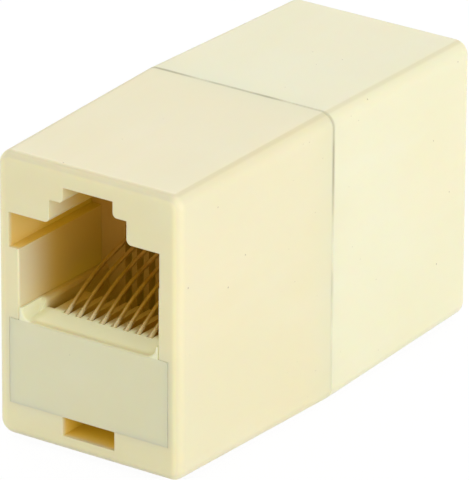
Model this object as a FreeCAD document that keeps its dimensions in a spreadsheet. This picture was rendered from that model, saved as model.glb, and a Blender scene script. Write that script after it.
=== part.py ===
import FreeCAD, Part

# RJ45 inline coupler: two drafted housing halves, each holding a contact insert with eight spring
# wires, joined inside by eight insulated leads that cross over so that pin 1 meets pin 1.
#
# Frame: origin under the middle of the coupler at the lowest line of the shell, +Z up towards the
# latch slots, +Y from the front socket to the rear socket, millimetres.
#
# Every piece is drawn for the front half, in a frame whose y = 0 is the seam and whose z = 0 is the
# lower edge of the end face. The rear half is the same piece turned half a turn about Z.

import os
import re
from math import atan2, cos, pi, radians, sin, tan

import Sketcher
from FreeCAD import Placement, Rotation, Vector

os.makedirs("parts", exist_ok=True)

SIZES = {
    # shell of one half
    "half_length": 18.11,           # end face to seam
    "end_width": 15.57,
    "end_height": 21.39,
    "draft_angle": 1.03,            # degrees; all four sides open towards the seam
    "long_edge_radius": 1.08,
    "rim_radius": 0.74,             # where the sides meet the end face
    "seam_chamfer": 0.08,
    # insert bay and stepped plug opening; heights are above the end face's lower edge
    "bay_width": 13.5,
    "bay_floor": 2.58,              # top of the sill and of the rails under the insert
    "stop_depth": 9.8,              # end face to the wall that the plug stops on
    "roof_thickness": 1.53,         # shell over the lever slot
    "lever_width": 4.22,
    "lever_step": 1.17,             # the lever slot rises this far over the latch slot
    "latch_width": 6.54,
    "latch_step": 1.73,             # the latch slot rises this far over the plug opening
    "latch_corner_radius": 0.4,
    "lever_corner_radius": 0.34,
    "shoulder_depth": 2.4,          # end face to the back of the shoulders that hold the latch
    "plug_width": 11.8,             # between the cheeks
    "cheek_height": 14.33,          # top of the cheeks, which stand over the sides of the insert
    "key_face": 6.02,               # inner face of the rib over one cheek, from the middle
    "mouth_chamfer": 0.1,           # eased edge round the front of the opening
    "chamber_step": 0.44,           # the chamber behind the stop rises this far over the lever slot
    # coring that keeps the walls even
    "floor_thickness": 1.15,
    "channel_width": 4.44,
    "rail_width": 1.1,
    "sill_thickness": 1.3,
    "ceiling_core_edge": 4.4,
    "ceiling_core_height": 2.1,
    "ceiling_core_depth": 1.5,
    # lap joint at the seam
    "lap_length": 1.5,
    "lap_thickness": 0.62,
    "lap_clearance": 0.08,
    # catch in the floor channel
    "catch_depth": 5.0,             # end face to the face that the insert's lug bears on
    "catch_land": 0.5,
    "catch_ramp": 1.4,
    "catch_height": 2.1,
    "catch_clearance": 0.1,
    # contact insert
    "insert_clearance": 0.03,
    "shelf_length": 2.3,            # behind the back wall
    "panel_height": 9.01,
    "lip_depth": 2.5,
    "lip_height": 9.3,              # top of the lip's back edge and of the comb
    "lip_land": 0.4,                # level front of the lip
    "gusset_radius": 0.85,          # where the lip runs up to the cheeks
    "gusset_edge": 0.2,
    "ledge_height": 9.95,
    "ledge_width": 0.62,
    "ledge_ramp": 1.0,
    "ledge_radius": 0.3,
    "back_wall": 1.1,
    "back_wall_gap": 0.15,          # under the chamber's ceiling
    "comb_width": 9.3,
    "comb_depth": 6.2,
    "well_floor": 4.6,
    "slot_headroom": 0.7,           # over the tips of the wires
    "core_inset": 1.2,              # wall left round the pockets in the underside
    "core_edge": 3.5,               # inner side of those pockets, from the middle
    "core_depth": 5.0,
    "core_height": 3.2,
    "lug_length": 1.9,
    "lug_land": 1.0,
    "lug_bottom": 1.72,
    "lug_side_gap": 0.25,
    # spring contacts
    "contact_count": 8,
    "contact_pitch": 1.016,
    "wire_diameter": 0.34,
    "wire_clearance": 0.11,
    "tail_height": 7.4,             # centre line of the wires and sleeves behind the insert
    "hairpin_depth": 1.15,          # foremost point of the wire's centre line
    "hairpin_radius": 0.6,
    "rise_angle": 34.0,
    "rise_run": 2.14,
    "spring_radius": 16.0,
    "tip_angle": 15.0,
    "tip_overhang": 0.2,            # the back wall covers the tip by this much
    # crimp sleeves and leads
    "sleeve_width": 0.7,
    "sleeve_length": 1.8,
    "sleeve_slit": 0.1,
    "lead_diameter": 0.6,
    "lead_core": 0.28,
    "lead_bare": 0.8,               # core past the insulation, inside the sleeve
    "lead_exit": 1.4,               # straight run out of the sleeve
    "lead_layer": 1.3,              # height step between the crossing leads
}
LEAD_FLATS = 6                      # flats round a hidden lead

# Places that several pieces share, as formulas of the sizes. Depths are behind the end face.
LEVER_HEIGHT = "end_height - roof_thickness"
LATCH_HEIGHT = f"{LEVER_HEIGHT} - lever_step"
CEILING_HEIGHT = f"{LATCH_HEIGHT} - latch_step"
CHAMBER_HEIGHT = f"{LEVER_HEIGHT} + chamber_step"
BACK_DEPTH = "stop_depth + back_wall"
INSERT_DEPTH = f"{BACK_DEPTH} + shelf_length"
INSERT_HALF = "bay_width / 2 - insert_clearance"
SHELF_HEIGHT = "tail_height - sleeve_width / 2"
SLEEVE_DEPTH = f"{INSERT_DEPTH} - sleeve_length"
TAIL_DEPTH = f"{INSERT_DEPTH} - sleeve_length / 2"
TIP_DEPTH = f"{BACK_DEPTH} - tip_overhang"
BEND_DEPTH = "hairpin_depth + hairpin_radius"
RISE_DEPTH = f"{BEND_DEPTH} - hairpin_radius * sin(rise_angle) + rise_run * cos(rise_angle)"
RISE_HEIGHT = "tail_height + hairpin_radius * (1 + cos(rise_angle)) + rise_run * sin(rise_angle)"
TURN_DEPTH = f"{RISE_DEPTH} + spring_radius * (sin(rise_angle) - sin(tip_angle))"
TURN_HEIGHT = f"{RISE_HEIGHT} + spring_radius * (cos(tip_angle) - cos(rise_angle))"
TIP_HEIGHT = f"{TURN_HEIGHT} + ({TIP_DEPTH} - ({TURN_DEPTH})) * tan(tip_angle)"
LIFT = "half_length * tan(draft_angle)"     # lowest line of the shell to the end face's lower edge

doc = FreeCAD.newDocument("coupler")
sheet = doc.addObject("Spreadsheet::Sheet", "Sizes")
for row, (alias, number) in enumerate(SIZES.items(), start=1):
    sheet.set(f"A{row}", alias)
    sheet.set(f"B{row}", str(number))
    sheet.setAlias(f"B{row}", alias)
doc.recompute()


def formula(text):
    """An expression in which every size is a reference to the sheet."""
    return re.sub(r"[a-z]\w*", lambda word: f"Sizes.{word[0]}" if word[0] in SIZES else word[0], text)


def value(text):
    """The number that a formula of sizes gives."""
    return float(sheet.evalExpression(formula(text)))


def bind(thing, prop, text):
    """Tie a property to the sheet."""
    thing.setExpression(prop, formula(text))


def behind(text):
    """Where a depth behind the end face lies along Y."""
    return f"{text} - half_length"


def dimension(sketch, kind, place, text, name):
    """A named sketch dimension tied to the sheet."""
    number = radians(value(text)) if kind == "Angle" else value(text)
    index = sketch.addConstraint(Sketcher.Constraint(kind, *place, number))
    sketch.renameConstraint(index, name)
    bind(sketch, f"Constraints.{name}", f"({text}) * 1deg" if kind == "Angle" else text)


def outline(sketch, corners):
    """Draw a closed outline. A corner is (x, y) or, between a level and an upright line, (x, y, radius).

    Lines between equal coordinates are kept level or upright, and each other coordinate is measured
    from the origin.
    """
    count = len(corners)
    points = [Vector(value(corner[0]), value(corner[1]), 0) for corner in corners]
    radii = [value(corner[2]) if len(corner) > 2 else 0 for corner in corners]
    first = sketch.GeometryCount
    for i, point in enumerate(points):
        after = points[(i + 1) % count]
        along = (after - point).normalize()
        start, end = point + along * radii[i], after - along * radii[(i + 1) % count]
        sketch.addGeometry(Part.LineSegment(start, end), False)
    for i, corner in enumerate(corners):
        line, before = first + i, first + (i - 1) % count
        last, after = corners[i - 1], corners[(i + 1) % count]
        if corner[0] == after[0]:
            sketch.addConstraint(Sketcher.Constraint("Vertical", line))
        if corner[1] == after[1]:
            sketch.addConstraint(Sketcher.Constraint("Horizontal", line))
        if corner[0] != last[0]:
            dimension(sketch, "DistanceX", (-1, 1, line, 1), corner[0], f"x{line}")
        if corner[1] != last[1]:
            dimension(sketch, "DistanceY", (-1, 1, line, 1), corner[1], f"y{line}")
        if not radii[i]:
            sketch.addConstraint(Sketcher.Constraint("Coincident", before, 2, line, 1))
            continue
        come = (points[i] - points[i - 1]).normalize() * radii[i]
        leave = (points[(i + 1) % count] - points[i]).normalize() * radii[i]
        centre = points[i] - come + leave
        left_turn = come.cross(leave).z > 0
        ends = (-leave, come) if left_turn else (come, -leave)
        angles = [atan2(end.y, end.x) for end in ends]
        circle = Part.Circle(centre, Vector(0, 0, 1), radii[i])
        arc = sketch.addGeometry(Part.ArcOfCircle(circle, *angles), False)
        start, end = (1, 2) if left_turn else (2, 1)
        sketch.addConstraint(Sketcher.Constraint("Tangent", before, 2, arc, start))
        sketch.addConstraint(Sketcher.Constraint("Tangent", arc, end, line, 1))
        dimension(sketch, "Radius", (arc,), corner[2], f"r{line}")


def box(low_x, low_y, high_x, high_y):
    """The four corners of a rectangle for outline."""
    return [(low_x, low_y), (high_x, low_y), (high_x, high_y), (low_x, high_y)]


class Piece:
    """A PartDesign body for one moulded or formed piece."""

    def __init__(self, name, rear=False, shift="0"):
        self.body = doc.addObject("PartDesign::Body", name)
        self.body.Label = name
        self.origin = {feature.Role: feature for feature in self.body.Origin.OriginFeatures}
        self.body.Placement = Placement(Vector(), Rotation(Vector(0, 0, 1), 180 if rear else 0))
        bind(self.body, "Placement.Base.x", f"-({shift})" if rear else shift)
        bind(self.body, "Placement.Base.z", LIFT)

    def sketch(self, name, plane, offset="0", outlines=()):
        """A sketch on an origin plane: XZ_Plane faces -Y, YZ_Plane +X and XY_Plane +Z."""
        sketch = self.body.newObject("Sketcher::SketchObject", name)
        sketch.AttachmentSupport = [(self.origin[plane], "")]
        sketch.MapMode = "FlatFace"
        bind(sketch, "AttachmentOffset.Base.z", offset)
        for corners in outlines:
            outline(sketch, corners)
        return sketch

    def feature(self, kind, name, plane, outlines, length, offset="0", towards_rear=True):
        """A Pad or Pocket of outlines. It grows along Y from XZ_Plane and to both sides of the others."""
        before = self.body.Shape.Volume if self.body.Tip else 0
        profile = self.sketch(f"{name}Sketch", plane, offset, outlines)
        thing = self.body.newObject(f"PartDesign::{kind}", name)
        thing.Profile = profile
        thing.Midplane = plane != "XZ_Plane"
        if plane == "XZ_Plane":
            thing.Reversed = towards_rear if kind == "Pad" else not towards_rear
        bind(thing, "Length", length)
        doc.recompute()
        change = self.body.Shape.Volume - before
        if abs(change) < 1e-3 or (change > 0) != (kind == "Pad"):
            raise RuntimeError(f"{name} changes the volume of {self.body.Label} by {change}")
        return thing

    def pad(self, name, plane, outlines, length, **options):
        return self.feature("Pad", name, plane, outlines, length, **options)

    def pocket(self, name, plane, outlines, length, **options):
        return self.feature("Pocket", name, plane, outlines, length, **options)

    def dress(self, kind, name, wanted, prop, text):
        """A Fillet or Chamfer of the edges that a test picks."""
        base = self.body.Tip
        picked = [f"Edge{i}" for i, edge in enumerate(base.Shape.Edges, start=1) if wanted(edge)]
        thing = self.body.newObject(f"PartDesign::{kind}", name)
        thing.Base = (base, picked)
        bind(thing, prop, text)
        doc.recompute()


def on_plane(axis, place):
    """A test for edges that lie wholly in one plane across an axis (0 is X, 1 is Y, 2 is Z)."""
    return lambda edge: all(abs(vertex.Point[axis] - place) < 1e-6 for vertex in edge.Vertexes)


def cheek_edge(edge):
    """A test for the front edge of a cheek beside the plug."""
    return (on_plane(1, -value("half_length"))(edge)
            and all(abs(abs(vertex.X) - value("plug_width / 2")) < 1e-6 for vertex in edge.Vertexes))


def mirrored(corners):
    """The same outline on the other side of the middle."""
    return [(f"-({x})", y, *radius) for x, y, *radius in reversed(corners)]


def lap(clear, middle):
    """A C-shaped outline along the inside of one half's walls, on the side where x is negative."""
    inner, outer = "bay_width / 2", f"bay_width / 2 + lap_thickness + {clear}"
    low, high = "floor_thickness", CHAMBER_HEIGHT
    under, over = f"floor_thickness - lap_thickness - {clear}", f"{high} + lap_thickness + {clear}"
    return [(f"-({middle})", under), (f"-({middle})", low), (f"-({inner})", low), (f"-({inner})", high),
            (f"-({middle})", high), (f"-({middle})", over), (f"-({outer})", over), (f"-({outer})", under)]


def make_housing(name, rear):
    """Half of the shell: drafted box, insert bay, stepped plug opening, latch shoulders, lap joint."""
    piece = Piece(name, rear)
    spread, end_y = LIFT, "-half_length"
    seam_half = f"end_width / 2 + {spread}"
    profile = [(end_y, "0"), ("0", f"-{spread}"), ("0", f"end_height + {spread}"), (end_y, "end_height")]
    piece.pad("Shell", "YZ_Plane", [profile], f"2 * ({seam_half})")
    flank = [("end_width / 2", end_y), (seam_half, end_y), (seam_half, "0")]
    piece.pocket("Flanks", "XY_Plane", [flank, mirrored(flank)], "3 * end_height")
    piece.dress("Fillet", "LongEdges", lambda edge: abs(edge.tangentAt(edge.FirstParameter).y) > 0.5,
                "Radius", "long_edge_radius")
    piece.dress("Fillet", "Rim", on_plane(1, -value("half_length")), "Radius", "rim_radius")
    piece.dress("Chamfer", "SeamEdge", on_plane(1, 0), "Size", "seam_chamfer")

    side = "bay_width / 2"
    piece.pocket("Chamber", "XZ_Plane", [box(f"-{side}", "bay_floor", side, CHAMBER_HEIGHT)],
                 "half_length - stop_depth", towards_rear=False)
    plug, cheek_foot = "plug_width / 2", "panel_height + insert_clearance"
    latch, lever = "latch_width / 2", "lever_width / 2"
    opening = [(f"-{side}", "bay_floor"), (side, "bay_floor"), (side, cheek_foot), (plug, cheek_foot),
               (plug, "cheek_height"), ("key_face", "cheek_height"), ("key_face", CEILING_HEIGHT),
               (latch, CEILING_HEIGHT, "latch_corner_radius"), (latch, LATCH_HEIGHT),
               (lever, LATCH_HEIGHT, "lever_corner_radius"), (lever, LEVER_HEIGHT),
               (f"-{lever}", LEVER_HEIGHT), (f"-{lever}", LATCH_HEIGHT, "lever_corner_radius"),
               (f"-{latch}", LATCH_HEIGHT), (f"-{latch}", CEILING_HEIGHT, "latch_corner_radius"),
               (f"-{side}", CEILING_HEIGHT), (f"-{side}", "cheek_height"), (f"-{plug}", "cheek_height"),
               (f"-{plug}", cheek_foot), (f"-{side}", cheek_foot)]
    piece.pocket("Opening", "XZ_Plane", [opening], "stop_depth", offset="half_length")
    piece.pocket("LatchPocket", "XZ_Plane", [box(f"-{latch}", CEILING_HEIGHT, latch, LEVER_HEIGHT)],
                 "stop_depth - shoulder_depth", offset="half_length - shoulder_depth")
    piece.pocket("FloorChannel", "XZ_Plane",
                 [box("-channel_width / 2", "floor_thickness", "channel_width / 2", "bay_floor")],
                 "half_length", offset="half_length")
    rail = "channel_width / 2 + rail_width"
    floor_core = box(rail, "floor_thickness", side, "bay_floor")
    piece.pocket("FloorCores", "XZ_Plane", [floor_core, mirrored(floor_core)],
                 "half_length - sill_thickness", towards_rear=False)
    ceiling_core = box("ceiling_core_edge", f"{CHAMBER_HEIGHT} - ceiling_core_height", side, CHAMBER_HEIGHT)
    piece.pocket("CeilingCores", "XZ_Plane", [ceiling_core, mirrored(ceiling_core)],
                 "half_length - ceiling_core_depth", towards_rear=False)

    root = "floor_thickness / 2"
    catch_back = "catch_depth + catch_land"
    catch = [(behind("catch_depth"), root), (behind(f"{catch_back} + catch_ramp"), root),
             (behind(f"{catch_back} + catch_ramp"), "floor_thickness"),
             (behind(catch_back), "catch_height"), (behind("catch_depth"), "catch_height")]
    piece.pad("Catch", "YZ_Plane", [catch], "channel_width")
    piece.pad("Tongue", "XZ_Plane", [lap("0", "lap_clearance")], "lap_length")
    piece.pocket("Groove", "XZ_Plane", [mirrored(lap("lap_clearance", "0"))],
                 "lap_length + lap_clearance", towards_rear=False)
    piece.dress("Chamfer", "Mouth", cheek_edge, "Size", "mouth_chamfer")
    return piece


def make_insert(name, rear):
    """Contact carrier: front panel, lip, ledges, comb, well, plug stop, shelf and catch lug."""
    piece = Piece(name, rear)
    width = f"2 * ({INSERT_HALF})"
    top = f"{CHAMBER_HEIGHT} - back_wall_gap"
    wall = "plug_width / 2 - insert_clearance"
    foot = "lip_depth - ledge_ramp"
    foot_height = "lip_height - (lip_height - panel_height) * ledge_ramp / (lip_depth - lip_land)"
    profile = [(behind("0"), "bay_floor"), (behind(INSERT_DEPTH), "bay_floor"),
               (behind(INSERT_DEPTH), SHELF_HEIGHT), (behind(BACK_DEPTH), SHELF_HEIGHT),
               (behind(BACK_DEPTH), top), (behind("stop_depth"), top),
               (behind("stop_depth"), "panel_height"), (behind("0"), "panel_height")]
    piece.pad("Block", "YZ_Plane", [profile], width)
    seat = [(behind("0"), "well_floor"), (behind("stop_depth"), "well_floor"),
            (behind("stop_depth"), "ledge_height"), (behind("lip_depth"), "ledge_height"),
            (behind(foot), foot_height), (behind("lip_land"), "panel_height"), (behind("0"), "panel_height")]
    piece.pad("Seat", "YZ_Plane", [seat], f"2 * ({wall})")
    well = [(behind(foot), "ledge_height"), (behind(foot), foot_height),
            (behind("lip_depth"), "lip_height"), (behind("lip_depth"), "well_floor"),
            (behind("stop_depth"), "well_floor"), (behind("stop_depth"), "ledge_height")]
    piece.pocket("Well", "YZ_Plane", [well], "plug_width - 2 * ledge_width")
    comb = [(behind("lip_depth"), "well_floor"), (behind("comb_depth"), "well_floor"),
            (behind("comb_depth"), "lip_height"), (behind("lip_depth"), "lip_height")]
    piece.pad("Comb", "YZ_Plane", [comb], "comb_width")

    inner = f"{wall} - gusset_edge"
    gusset = [(f"{inner} - 1.5 * gusset_radius", "well_floor"), (wall, "well_floor"), (wall, "ledge_height"),
              (inner, "ledge_height"), (inner, "panel_height", "gusset_radius"),
              (f"{inner} - 1.5 * gusset_radius", "panel_height")]
    piece.pad("Gussets", "XZ_Plane", [gusset, mirrored(gusset)], "lip_depth", offset="half_length")

    ledge_edge, lip_edge = value("plug_width / 2 - ledge_width"), value("panel_height")

    def ledge(edge):
        """The inner edge of a ledge's top."""
        return all(abs(abs(vertex.X) - ledge_edge) < 1e-6 and abs(vertex.Z - value("ledge_height")) < 1e-6
                   for vertex in edge.Vertexes)

    def mouth(edge):
        """The front edge of the lip and the gussets."""
        return (on_plane(1, -value("half_length"))(edge)
                and all(abs(vertex.X) < value(inner) + 1e-6 and vertex.Z > lip_edge - 1e-6
                        for vertex in edge.Vertexes))

    piece.dress("Fillet", "LedgeEdges", ledge, "Radius", "ledge_radius")
    piece.dress("Chamfer", "Mouth", mouth, "Size", "mouth_chamfer")

    slot_front = "hairpin_depth - wire_diameter / 2 - wire_clearance"
    slot_floor = "tail_height - wire_diameter / 2 - wire_clearance"
    slot_top = f"{TIP_HEIGHT} + slot_headroom"
    wire_top = (f"{RISE_HEIGHT} + wire_diameter / 2 / cos(rise_angle)"
                f" - tan(rise_angle) * ({RISE_DEPTH} - ({{}}))")
    slot = [(behind(slot_front), slot_floor), (behind(BACK_DEPTH), slot_floor),
            (behind(BACK_DEPTH), slot_top), (behind("lip_depth"), slot_top),
            (behind("lip_depth"), wire_top.format("lip_depth")),
            (behind(slot_front), wire_top.format(slot_front))]
    first_slot = piece.pocket("Slot", "YZ_Plane", [slot], "wire_diameter + 2 * wire_clearance",
                              offset="-(contact_count - 1) / 2 * contact_pitch")
    pattern = piece.body.newObject("PartDesign::LinearPattern", "Slots")
    pattern.Originals = [first_slot]
    pattern.Direction = (piece.origin["X_Axis"], [""])
    bind(pattern, "Length", "(contact_count - 1) * contact_pitch")
    bind(pattern, "Occurrences", "contact_count")
    piece.body.Tip = pattern
    doc.recompute()

    lug_back = "catch_depth - catch_clearance"
    lug = [(behind(f"{lug_back} - lug_length"), "bay_floor"),
           (behind(f"{lug_back} - lug_land"), "lug_bottom"), (behind(lug_back), "lug_bottom"),
           (behind(lug_back), "bay_floor + lug_land"),
           (behind(f"{lug_back} - lug_length"), "bay_floor + lug_land")]
    piece.pad("Lug", "YZ_Plane", [lug], "channel_width - 2 * lug_side_gap")
    core = box("core_edge", "bay_floor", f"{INSERT_HALF} - core_inset", "bay_floor + core_height")
    piece.pocket("UnderCores", "XZ_Plane", [core, mirrored(core)], "core_depth - core_inset",
                 offset="half_length - core_inset")
    return piece


def make_contact(name, rear, shift):
    """A spring wire: tail, hairpin under the lip, rise, long bend and tip run into the back wall.

    The round wire is drawn with six flats.
    """
    piece = Piece(name, rear, shift)
    path = piece.sketch("Route", "YZ_Plane")
    tail_y, tail_z = value(behind(TAIL_DEPTH)), value("tail_height")
    bend_y, bend = value(behind(BEND_DEPTH)), value("hairpin_radius")
    rise, tip = radians(value("rise_angle")), radians(value("tip_angle"))
    climb = Vector(cos(rise), sin(rise), 0)
    start = Vector(bend_y - bend * sin(rise), tail_z + bend * (1 + cos(rise)), 0)
    turn_in = start + climb * value("rise_run")
    turn_out = Vector(value(behind(TURN_DEPTH)), value(TURN_HEIGHT), 0)
    tip_end = Vector(value(behind(TIP_DEPTH)), value(TIP_HEIGHT), 0)
    spring = value("spring_radius")
    spring_centre = turn_in + Vector(sin(rise), -cos(rise), 0) * spring
    up = Vector(0, 0, 1)
    tail, hairpin, climbing, turn, tip_run = range(5)
    path.addGeometry([
        Part.LineSegment(Vector(tail_y, tail_z, 0), Vector(bend_y, tail_z, 0)),
        Part.ArcOfCircle(Part.Circle(Vector(bend_y, tail_z + bend, 0), up, bend), pi / 2 + rise, 3 * pi / 2),
        Part.LineSegment(start, turn_in),
        Part.ArcOfCircle(Part.Circle(spring_centre, up, spring), pi / 2 + tip, pi / 2 + rise),
        Part.LineSegment(turn_out, tip_end)], False)
    for joint in ((tail, 2, hairpin, 2), (hairpin, 1, climbing, 1), (climbing, 2, turn, 2),
                  (turn, 1, tip_run, 1)):
        path.addConstraint(Sketcher.Constraint("Tangent", *joint))
    path.addConstraint(Sketcher.Constraint("Horizontal", tail))
    dimension(path, "DistanceX", (-1, 1, tail, 1), behind(TAIL_DEPTH), "tail_end")
    dimension(path, "DistanceY", (-1, 1, tail, 1), "tail_height", "tail_height")
    dimension(path, "DistanceX", (-1, 1, hairpin, 3), behind(BEND_DEPTH), "bend_place")
    dimension(path, "Radius", (hairpin,), "hairpin_radius", "bend_radius")
    dimension(path, "Angle", (climbing,), "rise_angle", "rise")
    dimension(path, "Distance", (climbing,), "rise_run", "rise_length")
    dimension(path, "Radius", (turn,), "spring_radius", "turn_radius")
    dimension(path, "Angle", (tip_run,), "tip_angle", "tip")
    dimension(path, "DistanceX", (-1, 1, tip_run, 2), behind(TIP_DEPTH), "tip_end")

    ridge, side, edge = "wire_diameter / 2", "wire_diameter / 2 * cos(30)", "wire_diameter / 4"
    turns = [("0", ridge), (side, edge), (side, f"-{edge}"), ("0", f"-{ridge}"),
             (f"-{side}", f"-{edge}"), (f"-{side}", edge)]
    section = piece.sketch("Section", "XZ_Plane", f"-({behind(TAIL_DEPTH)})",
                           [[(x, f"tail_height + {z}") for x, z in turns]])
    doc.recompute()
    pipe = piece.body.newObject("PartDesign::AdditivePipe", "Wire")
    pipe.Profile = section
    pipe.Spine = (path, [])
    doc.recompute()
    return piece


def make_sleeve(name, rear, shift):
    """A crimp sleeve: strip folded square round the ends of a contact and a lead, slit along the top."""
    piece = Piece(name, rear, shift)
    out, bore, slit = "sleeve_width / 2", "wire_diameter / 2", "sleeve_slit / 2"
    low, high = f"tail_height - {out}", f"tail_height + {out}"
    floor, roof = f"tail_height - {bore}", f"tail_height + {bore}"
    strip = [(f"-{slit}", high), (f"-{out}", high), (f"-{out}", low), (out, low), (out, high),
             (slit, high), (slit, roof), (bore, roof), (bore, floor), (f"-{bore}", floor),
             (f"-{bore}", roof), (f"-{slit}", roof)]
    piece.pad("Strip", "XZ_Plane", [strip], "sleeve_length", offset=f"-({behind(SLEEVE_DEPTH)})")
    return piece


def tangent_route(points, share=0.45):
    """Straight runs through the points, joined by tangent arcs that use a share of the shorter run."""
    edges, here = [], points[0]
    for before, corner, after in zip(points, points[1:], points[2:]):
        come, leave = corner - before, after - corner
        reach = share * min(come.Length, leave.Length)
        into, out = corner - come.normalize() * reach, corner + leave.normalize() * reach
        half_turn = come.getAngle(leave) / 2
        radius = reach / tan(half_turn)
        inward = (leave - come).normalize()
        middle = corner + inward * (radius / cos(half_turn) - radius)
        edges += [Part.LineSegment(here, into).toShape(), Part.Arc(into, middle, out).toShape()]
        here = out
    edges.append(Part.LineSegment(here, points[-1]).toShape())
    return Part.Wire(edges)


def flat_sided(centre, across):
    """A polygon about a line along Y, as wide across its flats as given."""
    reach = across / 2 / cos(pi / LEAD_FLATS)
    turns = [2 * pi * k / LEAD_FLATS for k in range(LEAD_FLATS)]
    corners = [centre + Vector(reach * cos(turn), 0, reach * sin(turn)) for turn in turns]
    return Part.makePolygon(corners + corners[:1])


def make_lead(name, shift, layer):
    """An insulated lead from a front sleeve up or down to its own layer and over to the rear sleeve."""
    half, level = value("half_length"), value("tail_height")
    across, exit_y = value(shift), value(INSERT_DEPTH) - half
    bend_y = exit_y + value("lead_exit")
    front = [Vector(across, exit_y, level), Vector(across, bend_y, level)]
    middle = Vector(0, 0, level + value(layer))
    rear = [Vector(-point.x, -point.y, point.z) for point in reversed(front)]
    skin = flat_sided(front[0], value("lead_diameter"))
    shape = tangent_route(front + [middle] + rear).makePipeShell([skin], True, False)
    for end, direction in ((front[0], Vector(0, -1, 0)), (rear[-1], Vector(0, 1, 0))):
        bare = Part.Face(flat_sided(end, value("lead_core"))).extrude(direction * value("lead_bare"))
        shape = shape.fuse(bare)
    lead = doc.addObject("Part::Feature", name)
    lead.Label = name
    lead.Shape = shape.removeSplitter()
    lead.Placement = Placement(Vector(0, 0, value(LIFT)), Rotation())
    return lead


nodes = []
for end, rear in (("front", False), ("rear", True)):
    nodes += [make_housing(f"{end}_housing", rear).body, make_insert(f"{end}_insert", rear).body]
    for pin in range(1, SIZES["contact_count"] + 1):
        place = f"((contact_count + 1) / 2 - {pin}) * contact_pitch"
        nodes.append(make_contact(f"{end}_contact_{pin}", rear, place).body)
        nodes.append(make_sleeve(f"{end}_sleeve_{pin}", rear, place).body)
for pin in range(1, SIZES["contact_count"] + 1):
    place = f"((contact_count + 1) / 2 - {pin}) * contact_pitch"
    layer = f"((contact_count + 1) / 2 - {pin}) * lead_layer"
    nodes.append(make_lead(f"lead_{pin}", place, layer))

doc.recompute()
for item in doc.Objects:
    if "Invalid" in item.State or "Error" in item.State:
        raise RuntimeError(f"{item.Label} did not recompute: {item.State}")
for node in nodes:
    if node.Shape.isNull() or not node.Shape.isValid() or len(node.Shape.Solids) != 1:
        raise RuntimeError(f"{node.Label} is not one valid solid")
for node in nodes:
    node.Shape.exportStep(f"parts/{node.Label}.step")
    print(f"{node.Label}: {node.Shape.Volume:.3f} mm3")
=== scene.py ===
from math import cos, pi, radians, sin, tan

import bmesh
import bpy
from mathutils import Matrix, Vector


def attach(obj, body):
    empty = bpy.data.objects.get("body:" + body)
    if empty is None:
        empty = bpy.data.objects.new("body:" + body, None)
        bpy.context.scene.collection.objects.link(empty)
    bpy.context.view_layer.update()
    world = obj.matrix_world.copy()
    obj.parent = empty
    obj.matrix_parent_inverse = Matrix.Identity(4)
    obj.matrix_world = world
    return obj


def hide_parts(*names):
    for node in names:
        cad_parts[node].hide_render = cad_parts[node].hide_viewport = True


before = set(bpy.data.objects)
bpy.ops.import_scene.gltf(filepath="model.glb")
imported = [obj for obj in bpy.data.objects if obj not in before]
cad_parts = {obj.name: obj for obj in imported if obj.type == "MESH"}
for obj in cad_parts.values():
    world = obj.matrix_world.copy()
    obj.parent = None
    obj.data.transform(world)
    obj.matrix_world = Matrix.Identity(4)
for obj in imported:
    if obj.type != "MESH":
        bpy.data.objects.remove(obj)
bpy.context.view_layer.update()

MM = 0.001

# The coupler, in millimetres. A depth is behind the nearer end face. The height of a feature is
# above the lower edges of the end faces, which stand LIFT above the underside of the seam.
HALF_LENGTH = 18.11
LIFT = 0.3256
PANEL_HEIGHT = 9.01          # top of the blank panel under the plug's opening
CHEEK_HEIGHT = 14.33         # top of the cheeks beside the plug
GUSSET_START = 4.8           # from the middle to where the lip begins to run up to the cheeks
LEDGE_TOP = 10.2             # just above the ledges on both sides of the wires
LEDGE_END = 9                # a depth that the ledges stay short of
NEAR = 0.1                   # how far off a level an edge still counts as on it
PANEL_RIM = 0.2              # the edges round the panel lie within this of it

# Radii of the moulded edges, in millimetres.
CHEEK_EDGE = 0.3
SHELL_EDGE = 0.09
LEDGE_EDGE = 0.16
FINE_EDGE = 0.04
FULL_BEVEL = 0.5             # the bevel of an edge whose weight is 1
BEVEL_STEPS = 3
FACE_WEIGHT = 80             # how far the large faces lead the shading of the bevels
SHARP_ANGLE = radians(32)    # a sharper fold than this is an edge of the moulding
FLAT_ANGLE = radians(0.6)    # facets that meet flatter than this are one face
SAME_POINT = 1e-7            # corners closer than this are one, in metres

# The spring wires of a socket, in millimetres.
CONTACTS = 8
PITCH = 1.016
WIRE = 0.34
TAIL_HEIGHT = 7.4
TAIL_DEPTH = 12.3
HAIRPIN_DEPTH = 1.15
HAIRPIN_RADIUS = 0.6
RISE_ANGLE = radians(34)
RISE_RUN = 2.14
SPRING_RADIUS = 16.0
TIP_ANGLE = radians(15)
TIP_DEPTH = 10.7
WIRE_SIDES = 16
HAIRPIN_STEPS = 18
SPRING_STEPS = 10

# Where the plastic's tints change over, each from its first number to its second: millimetres
# across from the middle, up from the underside of the seam, or behind the nearer end face.
SIDE_WALL = (6.9, 7.3)
BOTTOM_WALL = (0.8, 1.2)
TOP_WALL = (20.4, 20.9)
TOP_EDGE = (19.5, 20.0)
LATCH_SLOT_TOP = (2.9, 3.1)
POCKET_SIDE = (5.85, 6.1)    # the pocket over a cheek, outside the rib
POCKET_FLOOR = (14.3, 14.7)
LIP_TOP = (9.3, 9.4)
LIP_BACK = (2.9, 2.1)
LIP_GUSSET = (4.5, 5.2)
END_FACE = (0.12, 0.03)
END_WALL = (0.5, 0.05)
END_EDGE = (0.7, 0.2)
COMB = (2.5, 3.3)
AMBER_DEPTH = (0.3, 5.0)
DEEP_DEPTH = (2.5, 11.0)
SEAM_DIRT = (0.03, 0.24)     # from the seam to each side
DIRT_HEIGHT = (1.0, 9.0)     # the dirt fades towards the underside

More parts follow.
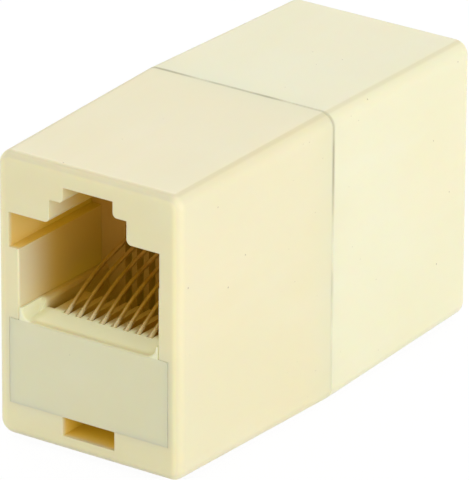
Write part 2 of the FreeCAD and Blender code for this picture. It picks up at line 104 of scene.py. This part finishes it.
# The same for openness, 1 in the open and 0 where all is closed in, and for how far a face
# looks up, 1 for a level one.
OPEN_REACH = 9.0             # how far off a wall still closes a place in, in millimetres
AMBER_OPENNESS = (0.08, 0.62)
DEEP_OPENNESS = (0.02, 0.26)
ROLLED = (0.8, 0.92)
LEVEL = (0.965, 0.995)

# How strongly the painted amber shade of the cavities and the painted glow in the plastic show,
# from 0 to 1.
AMBER_SHARE, DEEP_SHARE = 0.92, 0.88
POCKET_AMBER = 0.72          # the pockets are painted this amber, open as they are,
FAR_DEEP = 0.66              # and the far end of a cavity this deep in painted shade
DEEP_SHADE = 0.8             # how much of the light the deepest places lose
POCKET_LIGHT = 0.5           # how much of it reaches the pockets
SLOT_GLOW, POCKET_GLOW, EDGE_GLOW, LIP_GLOW = 0.12, 0.03, 0.07, 0.25
GUSSET_SHADE = 0.5

SATIN = 0.36                 # roughness of the plastic; under 0.28 the denoiser leaves patches

# The studio: a pale floor under an even sky, and the camera, in metres and radians.
FLOOR_HALF, FLOOR_HEIGHT = 4.0, -0.00002     # a hair under the seam
FLOOR_GLOW, FLOOR_SHARE = 1.03, 0.93         # the white seen on it, and how much of it is seen
SKY_LIGHT = 0.90
SKY_GAP = (0.42, 0.55), (0.72, 0.86)         # where the dimmer band in the sky starts and ends
SKY_GAP_DEPTH = 0.60
COUPLER_MIDDLE = Vector((0, 0, 0.011))       # what the lights are turned to
AZIMUTH, ELEVATION, ROLL = radians(34.615), radians(23.111), radians(0.289)
TARGET, DISTANCE = Vector((-0.000186, -0.00011, 0.01051)), 0.499136
LENS, SENSOR = 528.3, 36                     # in millimetres
CLIP_START, CLIP_END = 0.01, 20


# ---------------------------------------------------------------- nodes

class Value:
    """A node's output: an expression on values adds the Math nodes that work it out."""

    def __init__(self, tree, socket):
        self.tree, self.socket = tree, socket

    def math(self, operation, *others):
        return self.tree.node("ShaderNodeMath", {"operation": operation},
                              dict(enumerate((self, *others))))

    def __add__(self, other):
        return self.math("ADD", other)

    def __sub__(self, other):
        return self.math("SUBTRACT", other)

    def __rsub__(self, other):
        return self.tree.node("ShaderNodeMath", {"operation": "SUBTRACT"}, {0: other, 1: self})

    def __mul__(self, other):
        return self.math("MULTIPLY", other)

    def __truediv__(self, other):
        return self.math("DIVIDE", other)

    __radd__, __rmul__ = __add__, __mul__

    def below(self, level):
        """1 under a level and 0 over it."""
        return self.math("LESS_THAN", level)

    def most(self, other):
        """The larger of this and another."""
        return self.math("MAXIMUM", other)

    def unsigned(self):
        """This without its sign."""
        return self.math("ABSOLUTE")

    def ramp(self, low, high):
        """A smooth rise from 0 to 1 as this goes from low to high."""
        return self.tree.node("ShaderNodeMapRange", {"interpolation_type": "SMOOTHSTEP"},
                              {"Value": self, "From Min": low, "From Max": high})

    def fall(self, low, high):
        """A smooth fall from 1 to 0 as this goes from low to high."""
        return 1 - self.ramp(low, high)


class Tree:
    """A node tree that nodes are added to."""

    def __init__(self, tree):
        self.tree = tree
        self.tree.nodes.clear()

    def node(self, kind, settings=None, inputs=None, output=0):
        """Add a node: its settings first, then the values or links of its sockets."""
        made = self.tree.nodes.new(kind)
        for name, setting in (settings or {}).items():
            setattr(made, name, setting)
        for name, given in (inputs or {}).items():
            socket = made.inputs[name]
            if isinstance(given, Value):
                self.tree.links.new(given.socket, socket)
            elif socket.type == "RGBA":
                socket.default_value = (*given, 1)
            else:
                socket.default_value = given
        return Value(self, made.outputs[output]) if len(made.outputs) else None


class Shader(Tree):
    """A material and the nodes in it."""

    def __init__(self, name):
        self.material = bpy.data.materials.new(name)
        self.material.use_nodes = True
        super().__init__(self.material.node_tree)

    def place(self, scale=(1, 1, 1), turn=(0, 0, 0)):
        """Where a point is on the piece, stretched and turned for a pattern."""
        spot = self.node("ShaderNodeTexCoord", output="Object")
        return self.node("ShaderNodeMapping", None,
                         {"Vector": spot, "Scale": scale, "Rotation": turn})

    def part_of(self, space, axis):
        """One part of a texture coordinate: where a point is, or which way its face looks."""
        whole = self.node("ShaderNodeTexCoord", output=space)
        return self.node("ShaderNodeSeparateXYZ", None, {"Vector": whole}, output=axis)

    def across(self):
        """How far a point lies from the middle towards a side, in millimetres."""
        return (self.part_of("Object", "X") / MM).unsigned()

    def along(self):
        """How far a point lies from the seam towards an end, in millimetres."""
        return (self.part_of("Object", "Y") / MM).unsigned()

    def height(self):
        """How far a point lies above the underside of the seam, in millimetres."""
        return self.part_of("Object", "Z") / MM

    def depth(self):
        """How far a point lies behind the nearer end face, in millimetres."""
        return HALF_LENGTH - self.along()

    def near_end(self, deep, shallow):
        """0 at one depth behind the nearer end face and 1 at a shallower one."""
        return self.along().ramp(HALF_LENGTH - deep, HALF_LENGTH - shallow)

    def noise(self, size, detail, scale=(1, 1, 1), turn=(0, 0, 0)):
        """Noise whose patches are about this many millimetres across, from 0 to 1."""
        return self.node("ShaderNodeTexNoise", None,
                         {"Vector": self.place(scale, turn), "Scale": 1 / (size * MM),
                          "Detail": detail})

    def mix(self, mask, base, other, blend="MIX"):
        """Blend two colours."""
        return self.node("ShaderNodeMix", {"data_type": "RGBA", "blend_type": blend},
                         {0: mask, 6: base, 7: other}, output=2)

    def openness(self, reach):
        """How little stands within reach, from 1 in the open down to 0."""
        return self.node("ShaderNodeAmbientOcclusion", {"samples": 6}, {"Distance": reach * MM},
                         output="AO")

    def bump(self, height, distance, strength, under=None):
        """Relief from a height between 0 and 1, this many millimetres deep."""
        inputs = {"Height": height, "Distance": distance * MM, "Strength": strength}
        if under:
            inputs["Normal"] = under
        return self.node("ShaderNodeBump", None, inputs)

    def finish(self, **sockets):
        """The Principled surface that ends the material."""
        surface = self.node("ShaderNodeBsdfPrincipled", None,
                            {name.replace("_", " "): given for name, given in sockets.items()})
        self.node("ShaderNodeOutputMaterial", None, {"Surface": surface})
        return self.material


# ---------------------------------------------------------------- finishes

def linear(red, green, blue):
    """A display colour, 0 to 255, as the numbers that a shader takes."""
    return tuple(c / 255 / 12.92 if c < 10.3 else ((c / 255 + 0.055) / 1.055) ** 2.4
                 for c in (red, green, blue))


WHITE = (1.0, 1.0, 1.0)
BLACK = (0.0, 0.0, 0.0)

# Painted shade: the front housing gets a slightly darker cream than the rear one, for the light
# falling off over it
SHADED_FRONT_CREAM = linear(241, 232, 194)
REAR_CREAM = linear(244, 239, 204)
# Painted light: the end faces of the housings get a lighter, yellower cream for how they show under
# the studio light
END_FACE_LIGHT_CREAM = linear(250, 240, 194)
CARRIER_CREAM = linear(248, 243, 199)
PANEL_CREAM = linear(238, 234, 195)
WARMTH = (0.99, 0.965, 0.89)             # these two multiply the cream; the second is painted shade on the rolled edges
EDGE_SHADE_TINT = (0.90, 0.885, 0.84)
BROWN_SPECK = linear(140, 112, 74)
SEAM_BROWN = linear(130, 112, 70)
# Painted shade: the amber and the deeper amber that the cavities are tinted with
PAINTED_CAVITY_AMBER = linear(218, 176, 66)
PAINTED_DEEP_SHADE = linear(170, 102, 28)
AMBER_LIGHT = linear(255, 222, 30)       # glow painted in for the light that comes through the walls of a cavity,
EDGE_LIGHT = linear(255, 236, 160)       # through the upright edges of an end,
LIP_LIGHT = linear(238, 250, 212)        # and through the lip

WIRE_GOLD = linear(246, 242, 218)
WORN_GOLD = linear(226, 214, 180)
PAINTED_HIGHLIGHT_GOLD = linear(255, 250, 214)
BRIGHT_TIN = linear(206, 203, 196)
DULL_TIN = linear(168, 164, 156)
LEAD_BROWN = linear(150, 112, 76)
LEAD_DUST = linear(186, 158, 120)
FLOOR_GREY = (0.8, 0.8, 0.8)


def specks(shader, spacing, size, share):
    """Rare round specks: one in some of the cells that the surface is divided into."""
    cells = {"Vector": shader.place(), "Scale": 1 / (spacing * MM), "Randomness": 1.0}
    reach = shader.node("ShaderNodeTexVoronoi", {"feature": "F1"}, cells, output="Distance")
    colour = shader.node("ShaderNodeTexVoronoi", {"feature": "F1"}, cells, output="Color")
    draw = shader.node("ShaderNodeSeparateColor", None, {"Color": colour}, output=0)
    width = size / 2 / spacing
    return reach.fall(width * 0.6, width) * draw.below(share)


def scratches(shader, size, turn, thin, amount):
    """Faint hairlines: the narrow middle line of a stretched noise, broken by a coarse one."""
    lines = shader.noise(size, detail=1.0, scale=(1.0, 0.05, 0.6), turn=turn)
    line = (lines - 0.5).unsigned().fall(0.0, thin)
    breaks = shader.noise(size * 1.7, detail=1.0)
    return line * breaks.ramp(1 - amount, 1 - amount + 0.06)


def grime(shader):
    """Dirt in the seam between the halves, in some stretches and less towards the underside."""
    line = shader.along().fall(*SEAM_DIRT)
    stretches = shader.noise(7.0, detail=2.0).ramp(0.38, 0.62)
    return line * stretches * shader.height().ramp(*DIRT_HEIGHT)


def painted_edge_shade(shader):
    """Painted shade: the darker line where the top rolls over into the sides and the ends."""
    up = shader.part_of("Normal", "Z")
    return up.ramp(*ROLLED) * up.fall(*LEVEL) * shader.height().ramp(*TOP_EDGE)


def inside(shader):
    """1 within the walls of the housing, and 0 on its skin and its end faces."""
    height = shader.height()
    between = height.ramp(*BOTTOM_WALL) * height.fall(*TOP_WALL)
    return between * shader.across().fall(*SIDE_WALL) * (1 - shader.near_end(*END_WALL))


def lip(shader):
    """1 on the lip above the panel, which stands in the light, and 0 on the rest of a carrier."""
    return shader.near_end(*LIP_BACK) * shader.height().ramp(*LIP_TOP)


def skin_and_painted_shade(shader, tone, end_tone, flow, lines, specked):
    """The colour of moulded plastic: clouded by its flow, specked, scratched and dirty, with
    painted shade where the top rolls over.
    """
    # the end faces take their own tone: painted light on the housings, the panel's colour on the
    # carriers
    colour = shader.mix(shader.near_end(*END_FACE), tone, end_tone)
    clouds = shader.noise(11, detail=3.0)
    dots = (specks(shader, spacing=1.3, size=0.17, share=specked)
            + specks(shader, spacing=0.8, size=0.09, share=specked * 1.3))
    for mask, share, tint, blend in ((clouds.ramp(0.35, 0.72), 0.5, WARMTH, "MULTIPLY"),
                                     (flow.ramp(0.45, 0.75), 0.05, WHITE, "MIX"),
                                     (lines, 0.04, WHITE, "MIX"),
                                     (dots.ramp(0.0, 1.0), 0.5, BROWN_SPECK, "MIX"),
                                     (grime(shader), 0.5, SEAM_BROWN, "MIX"),
                                     # painted shade: a darker band where the top rolls over into
                                     # the sides and the ends
                                     (painted_edge_shade(shader), 0.8, EDGE_SHADE_TINT, "MULTIPLY")):
        colour = shader.mix(mask * share, colour, tint, blend)
    return colour


def light_through(shader, colour, glow, lipped):
    """Paint a colour amber and darker where the plastic closes in, as painted shade, and give a
    painted glow for the light that comes through it.
    """
    across, height, depth = shader.across(), shader.height(), shader.depth()
    openness = shader.openness(OPEN_REACH)
    in_light = lip(shader) * lipped
    indoors = inside(shader) * (1 - in_light)
    closed = openness.fall(*AMBER_OPENNESS)
    pocket = across.ramp(*POCKET_SIDE) * height.ramp(*POCKET_FLOOR)
    amber = closed.most(depth.ramp(*AMBER_DEPTH)).most(pocket * POCKET_AMBER) * indoors
    deep = openness.fall(*DEEP_OPENNESS).most(depth.ramp(*DEEP_DEPTH) * FAR_DEEP) * indoors
    # painted shade: amber in the base colour, deeper amber further in
    colour = shader.mix(amber * AMBER_SHARE, colour, PAINTED_CAVITY_AMBER)
    colour = shader.mix(deep * DEEP_SHARE, colour, PAINTED_DEEP_SHADE)
    slot = height.fall(*LATCH_SLOT_TOP)
    through = closed.most(pocket * POCKET_LIGHT) * indoors * (1 - deep * DEEP_SHADE)
    through = through * (slot * SLOT_GLOW + pocket * POCKET_GLOW + glow)
    light = shader.mix(through, BLACK, AMBER_LIGHT)
    flank = shader.near_end(*END_EDGE) * across.ramp(*SIDE_WALL)
    light = shader.mix(flank * EDGE_GLOW, light, EDGE_LIGHT)
    between_gussets = 1 - across.ramp(*LIP_GUSSET) * GUSSET_SHADE
    light = shader.mix(in_light * between_gussets * LIP_GLOW, light, LIP_LIGHT)
    return colour, light


def moulded_plastic(name, tone, end_tone, scratched, specked, glow, lipped):
    """Cream moulded plastic with a satin skin, painted amber shade in its cavities and a painted
    glow for the light that comes through it.
    """
    shader = Shader(name)
    flow = shader.noise(3.2, detail=3.0, scale=(1.0, 0.22, 1.0))
    grain = shader.noise(0.3, detail=1.0)
    lines = (scratches(shader, size=7, turn=(0.3, 0.1, 0.5), thin=0.01, amount=scratched)
             + scratches(shader, size=5, turn=(1.1, 0.4, -0.3), thin=0.012, amount=scratched * 0.8))
    colour = skin_and_painted_shade(shader, tone, end_tone, flow, lines, specked)
    colour, light = light_through(shader, colour, glow, lipped)
    roughness = SATIN + (flow - 0.5) * 0.1 + (grain - 0.5) * 0.04 - lines * 0.02
    relief = shader.bump(flow, distance=0.012, strength=0.35)
    relief = shader.bump(grain, distance=0.004, strength=0.25, under=relief)
    return shader.finish(Base_Color=colour, Roughness=roughness, Normal=relief, IOR=1.53,
                         Emission_Color=light, Emission_Strength=1.0,
                         Subsurface_Weight=0.3, Subsurface_Radius=(1.0, 0.6, 0.2),
                         Subsurface_Scale=1.6 * MM)


def gold_wire(name):
    """Thin gold plate with draw lines along the wire, and a painted highlight, paler and less
    metallic, where it comes out of the comb.
    """
    shader = Shader(name)
    patches = shader.noise(0.9, detail=3.0)
    drawn = shader.noise(0.05, detail=2.0, scale=(1.0, 0.06, 0.5))
    # painted highlight: the wire is paler and less metallic near the comb
    bright = shader.depth().fall(*COMB)
    colour = shader.mix(patches.ramp(0.3, 0.75), WIRE_GOLD, WORN_GOLD)
    colour = shader.mix(bright, colour, PAINTED_HIGHLIGHT_GOLD)
    roughness = 0.12 + patches * 0.1 + (drawn - 0.5) * 0.08
    return shader.finish(Base_Color=colour, Metallic=1 - bright * 0.5, Roughness=roughness,
                         Normal=shader.bump(drawn, distance=0.003, strength=0.6))


def tinned_strip(name):
    """Dull tin over stamped strip."""
    shader = Shader(name)
    bloom = shader.noise(0.7, detail=4.0)
    rolled = shader.noise(0.08, detail=2.0, scale=(1.0, 0.08, 1.0))
    colour = shader.mix(bloom, BRIGHT_TIN, DULL_TIN)
    return shader.finish(Base_Color=colour, Metallic=1.0, Roughness=0.38 + bloom * 0.2,
                         Normal=shader.bump(rolled, distance=0.004, strength=0.5))


def insulation(name):
    """Dull extruded insulation with a faint draw pattern and dust."""
    shader = Shader(name)
    dust = shader.noise(0.8, detail=3.0)
    drawn = shader.noise(0.1, detail=2.0, scale=(1.0, 0.1, 1.0))
    colour = shader.mix(dust.ramp(0.4, 0.8) * 0.4, LEAD_BROWN, LEAD_DUST)
    return shader.finish(Base_Color=colour, Roughness=0.5 + dust * 0.15,
                         Normal=shader.bump(drawn, distance=0.004, strength=0.4))


FRONT_SHELL = moulded_plastic("cream_front_shell_plastic", SHADED_FRONT_CREAM, END_FACE_LIGHT_CREAM,
                              scratched=0.3, specked=0.08, glow=0.17, lipped=0)
REAR_SHELL = moulded_plastic("cream_rear_shell_plastic", REAR_CREAM, END_FACE_LIGHT_CREAM,
                             scratched=0.3, specked=0.08, glow=0.17, lipped=0)
CARRIER = moulded_plastic("cream_carrier_plastic", CARRIER_CREAM, PANEL_CREAM,
                          scratched=0.34, specked=0.05, glow=0.08, lipped=1)
GOLD = gold_wire("gold_plated_wire")
TIN = tinned_strip("tinned_strip")
SKIN = insulation("lead_insulation")


# ---------------------------------------------------------------- pieces

def link(name, made):
    """Put a mesh, a light or a camera into the scene under a name."""
    thing = bpy.data.objects.new(name, made)
    bpy.context.scene.collection.objects.link(thing)
    return thing


def plain_mesh(piece):
    """Leave a piece with what its modifiers make of it, as a plain mesh."""
    graph = bpy.context.evaluated_depsgraph_get()
    made = bpy.data.meshes.new_from_object(piece.evaluated_get(graph), depsgraph=graph)
    piece.modifiers.clear()
    piece.data = made
    return piece


def solid_copy(name, node, material, softness):
    """The moulded form of a node, its edges softened as a mould leaves them."""
    form = bmesh.new()
    form.from_mesh(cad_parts[node].data)
    bmesh.ops.remove_doubles(form, verts=form.verts, dist=SAME_POINT)
    bmesh.ops.dissolve_limit(form, angle_limit=FLAT_ANGLE, verts=form.verts, edges=form.edges,
                             use_dissolve_boundaries=False)
    share = form.edges.layers.float.new("bevel_weight_edge")
    for edge in form.edges:
        if len(edge.link_faces) == 2 and edge.calc_face_angle() > SHARP_ANGLE:
            middle = (edge.verts[0].co + edge.verts[1].co) / 2 / MM
            radius = softness(abs(middle.x), HALF_LENGTH - abs(middle.y), middle.z - LIFT)
            edge[share] = radius / FULL_BEVEL
    mesh = bpy.data.meshes.new(name)
    form.to_mesh(mesh)
    form.free()
    piece = link(name, mesh)
    soften = piece.modifiers.new("Soften", "BEVEL")
    soften.width = FULL_BEVEL * MM
    soften.segments = BEVEL_STEPS
    soften.limit_method = "WEIGHT"
    soften.use_clamp_overlap = True
    weigh = piece.modifiers.new("Weigh", "WEIGHTED_NORMAL")
    weigh.keep_sharp = True
    weigh.weight = FACE_WEIGHT
    mesh.polygons.foreach_set("use_smooth", [True] * len(mesh.polygons))
    mesh.materials.append(material)
    return plain_mesh(piece)


def shell_softness(across, depth, height):
    """The radius of a housing's edge: wide on the cheeks, fine round the panel."""
    if abs(height - CHEEK_HEIGHT) < NEAR and depth > NEAR:
        return CHEEK_EDGE
    if height < PANEL_HEIGHT + PANEL_RIM and depth < PANEL_RIM:
        return FINE_EDGE
    return SHELL_EDGE


def carrier_softness(across, depth, height):
    """The radius of a carrier's edge: wide at the ledges and the gussets, fine elsewhere."""
    beside_wires = across > GUSSET_START and depth < LEDGE_END
    if beside_wires and PANEL_HEIGHT + NEAR < height < LEDGE_TOP:
        return LEDGE_EDGE
    return FINE_EDGE


def bend(centre, radius, first, last, steps):
    """Points round a bend to the right, as the wire's direction goes from first down to last."""
    turns = [first + (last - first) * step / steps for step in range(steps + 1)]
    return [(centre[0] - radius * sin(turn), centre[1] + radius * cos(turn)) for turn in turns]


def wire_route():
    """The middle of one spring wire by depth and height: tail, hairpin, rise, long bend and tip."""
    eye = (HAIRPIN_DEPTH + HAIRPIN_RADIUS, TAIL_HEIGHT + HAIRPIN_RADIUS)
    hairpin = bend(eye, HAIRPIN_RADIUS, pi, RISE_ANGLE, HAIRPIN_STEPS)
    depth, height = hairpin[-1]
    rise = (depth + RISE_RUN * cos(RISE_ANGLE), height + RISE_RUN * sin(RISE_ANGLE))
    heart = (rise[0] + SPRING_RADIUS * sin(RISE_ANGLE), rise[1] - SPRING_RADIUS * cos(RISE_ANGLE))
    spring = bend(heart, SPRING_RADIUS, RISE_ANGLE, TIP_ANGLE, SPRING_STEPS)
    depth, height = spring[-1]
    tip = (TIP_DEPTH, height + (TIP_DEPTH - depth) * tan(TIP_ANGLE))
    return [(TAIL_DEPTH, TAIL_HEIGHT), *hairpin, *spring, tip]


def wire_row_tree():
    """Geometry nodes that sweep a round wire along a route and set out a row of them."""
    kinds = {"Route": "Geometry", "Wire radius": "Float", "Sides": "Int", "Contacts": "Int",
             "Pitch": "Float", "Finish": "Material"}
    group = bpy.data.node_groups.new("wire_row", "GeometryNodeTree")
    for label, kind in kinds.items():
        group.interface.new_socket(label, in_out="INPUT", socket_type=f"NodeSocket{kind}")
    group.interface.new_socket("Row", in_out="OUTPUT", socket_type="NodeSocketGeometry")
    tree = Tree(group)
    given = {label: tree.node("NodeGroupInput", output=label) for label in kinds}
    route = tree.node("GeometryNodeMeshToCurve", None, {"Mesh": given["Route"]})
    ring = tree.node("GeometryNodeCurvePrimitiveCircle", None,
                     {"Radius": given["Wire radius"], "Resolution": given["Sides"]})
    wire = tree.node("GeometryNodeCurveToMesh", None,
                     {"Curve": route, "Profile Curve": ring, "Fill Caps": True})
    wire = tree.node("GeometryNodeSetShadeSmooth", None, {"Geometry": wire})
    step = tree.node("ShaderNodeCombineXYZ", None, {"X": given["Pitch"]})
    first = tree.node("ShaderNodeCombineXYZ", None,
                      {"X": (given["Contacts"] - 1) * given["Pitch"] * -0.5})
    places = tree.node("GeometryNodeMeshLine", None,
                       {"Count": given["Contacts"], "Start Location": first, "Offset": step})
    row = tree.node("GeometryNodeInstanceOnPoints", None, {"Points": places, "Instance": wire})
    row = tree.node("GeometryNodeRealizeInstances", None, {"Geometry": row})
    row = tree.node("GeometryNodeSetMaterial", None,
                    {"Geometry": row, "Material": given["Finish"]})
    tree.node("NodeGroupOutput", None, {"Row": row})
    return group


def wire_row(name, group, side):
    """The eight spring wires of one socket; side is -1 for the front one and 1 for the rear."""
    points = [(0, side * (HALF_LENGTH - depth) * MM, (height + LIFT) * MM)
              for depth, height in wire_route()]
    route = bpy.data.meshes.new(name)
    route.from_pydata(points, [(i, i + 1) for i in range(len(points) - 1)], [])
    piece = link(name, route)
    maker = piece.modifiers.new("Wires", "NODES")
    maker.node_group = group
    inputs = {"Wire radius": WIRE / 2 * MM, "Sides": WIRE_SIDES, "Contacts": CONTACTS,
              "Pitch": PITCH * MM, "Finish": GOLD}
    for item in group.interface.items_tree:
        if item.name in inputs:
            maker[item.identifier] = inputs[item.name]
    return plain_mesh(piece)


WIRE_TREE = wire_row_tree()
for end, side, plastic in (("front", -1, FRONT_SHELL), ("rear", 1, REAR_SHELL)):
    shell = solid_copy(f"{end}_shell", f"{end}_housing", plastic, shell_softness)
    carrier = solid_copy(f"{end}_carrier", f"{end}_insert", CARRIER, carrier_softness)
    wires = wire_row(f"{end}_wires", WIRE_TREE, side)
    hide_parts(f"{end}_housing")
    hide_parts(f"{end}_insert")
    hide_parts(*[f"{end}_contact_{pin}" for pin in range(1, CONTACTS + 1)])
    for piece, slot in ((shell, "housing"), (carrier, "insert"), (wires, "contact")):
        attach(piece, "root")

# The leads between the sockets and their sleeves are drawn as the frame has them.
for name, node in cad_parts.items():
    if name.startswith("lead") or "sleeve" in name:
        node.data.materials.clear()
        node.data.materials.append(SKIN if name.startswith("lead") else TIN)


# ---------------------------------------------------------------- stage, lights, sky, camera

def stage_material(name, colour):
    """A pale stage that the camera sees as near white and that still takes a shadow."""
    shader = Shader(name)
    camera_ray, glossy_ray, clear_ray = (shader.node("ShaderNodeLightPath", output=f"Is {kind} Ray")
                                         for kind in ("Camera", "Glossy", "Transmission"))
    seen = (camera_ray + glossy_ray + clear_ray).math("MINIMUM", 1.0)
    matt = shader.node("ShaderNodeBsdfDiffuse", None, {"Color": colour})
    bright = shader.node("ShaderNodeEmission", None, {"Color": WHITE, "Strength": FLOOR_GLOW})
    mixed = shader.node("ShaderNodeMixShader", None, {0: seen * FLOOR_SHARE, 1: matt, 2: bright})
    shader.node("ShaderNodeOutputMaterial", None, {"Surface": mixed})
    return shader.material


def plane(name, half, height):
    """A level square, this far from its middle to each side."""
    mesh = bpy.data.meshes.new(name)
    corners = [(-half, -half, height), (half, -half, height),
               (half, half, height), (-half, half, height)]
    mesh.from_pydata(corners, [], [(0, 1, 2, 3)])
    return link(name, mesh)


def soft_light(name, place, size, power):
    """A square soft box turned towards the coupler."""
    lamp = bpy.data.lights.new(name, "AREA")
    lamp.shape, lamp.size, lamp.energy = "SQUARE", size, power
    box = link(name, lamp)
    box.location = place
    box.rotation_euler = (COUPLER_MIDDLE - Vector(place)).to_track_quat("-Z", "Y").to_euler()


def studio_sky():
    """Even light from all round with a dimmer band in it; the camera sees plain white."""
    world = bpy.data.worlds.new("studio")
    world.use_nodes = True
    bpy.context.scene.world = world
    sky = Tree(world.node_tree)
    seen = sky.node("ShaderNodeLightPath", output="Is Camera Ray")
    way = sky.node("ShaderNodeTexCoord", output="Generated")
    climb = sky.node("ShaderNodeSeparateXYZ", None, {"Vector": way}, output="Z")
    gap_foot, gap_head = SKY_GAP
    gap = climb.ramp(*gap_foot) * climb.fall(*gap_head)
    light = SKY_LIGHT * (1 - gap * SKY_GAP_DEPTH)
    glow = sky.node("ShaderNodeBackground", None,
                    {"Color": WHITE, "Strength": light + seen * (1 - light)})
    sky.node("ShaderNodeOutputWorld", None, {"Surface": glow})


floor = plane("floor", FLOOR_HALF, FLOOR_HEIGHT)
floor.data.materials.append(stage_material("white_floor", FLOOR_GREY))

soft_light("right_light", (0.55, -0.13, 0.13), size=0.35, power=1.30)
soft_light("left_rear_light", (-0.24, 0.26, 0.36), size=0.25, power=0.50)
studio_sky()

camera = link("camera", bpy.data.cameras.new("camera"))
away = Vector((sin(AZIMUTH) * cos(ELEVATION), -cos(AZIMUTH) * cos(ELEVATION), sin(ELEVATION)))
camera.matrix_world = (Matrix.Translation(TARGET + away * DISTANCE)
                       @ (-away).to_track_quat("-Z", "Y").to_matrix().to_4x4()
                       @ Matrix.Rotation(ROLL, 4, "Z"))
camera.data.lens = LENS
camera.data.sensor_width = SENSOR
camera.data.clip_start, camera.data.clip_end = CLIP_START, CLIP_END
bpy.context.scene.camera = camera
bpy.context.scene.view_settings.view_transform = "Standard"
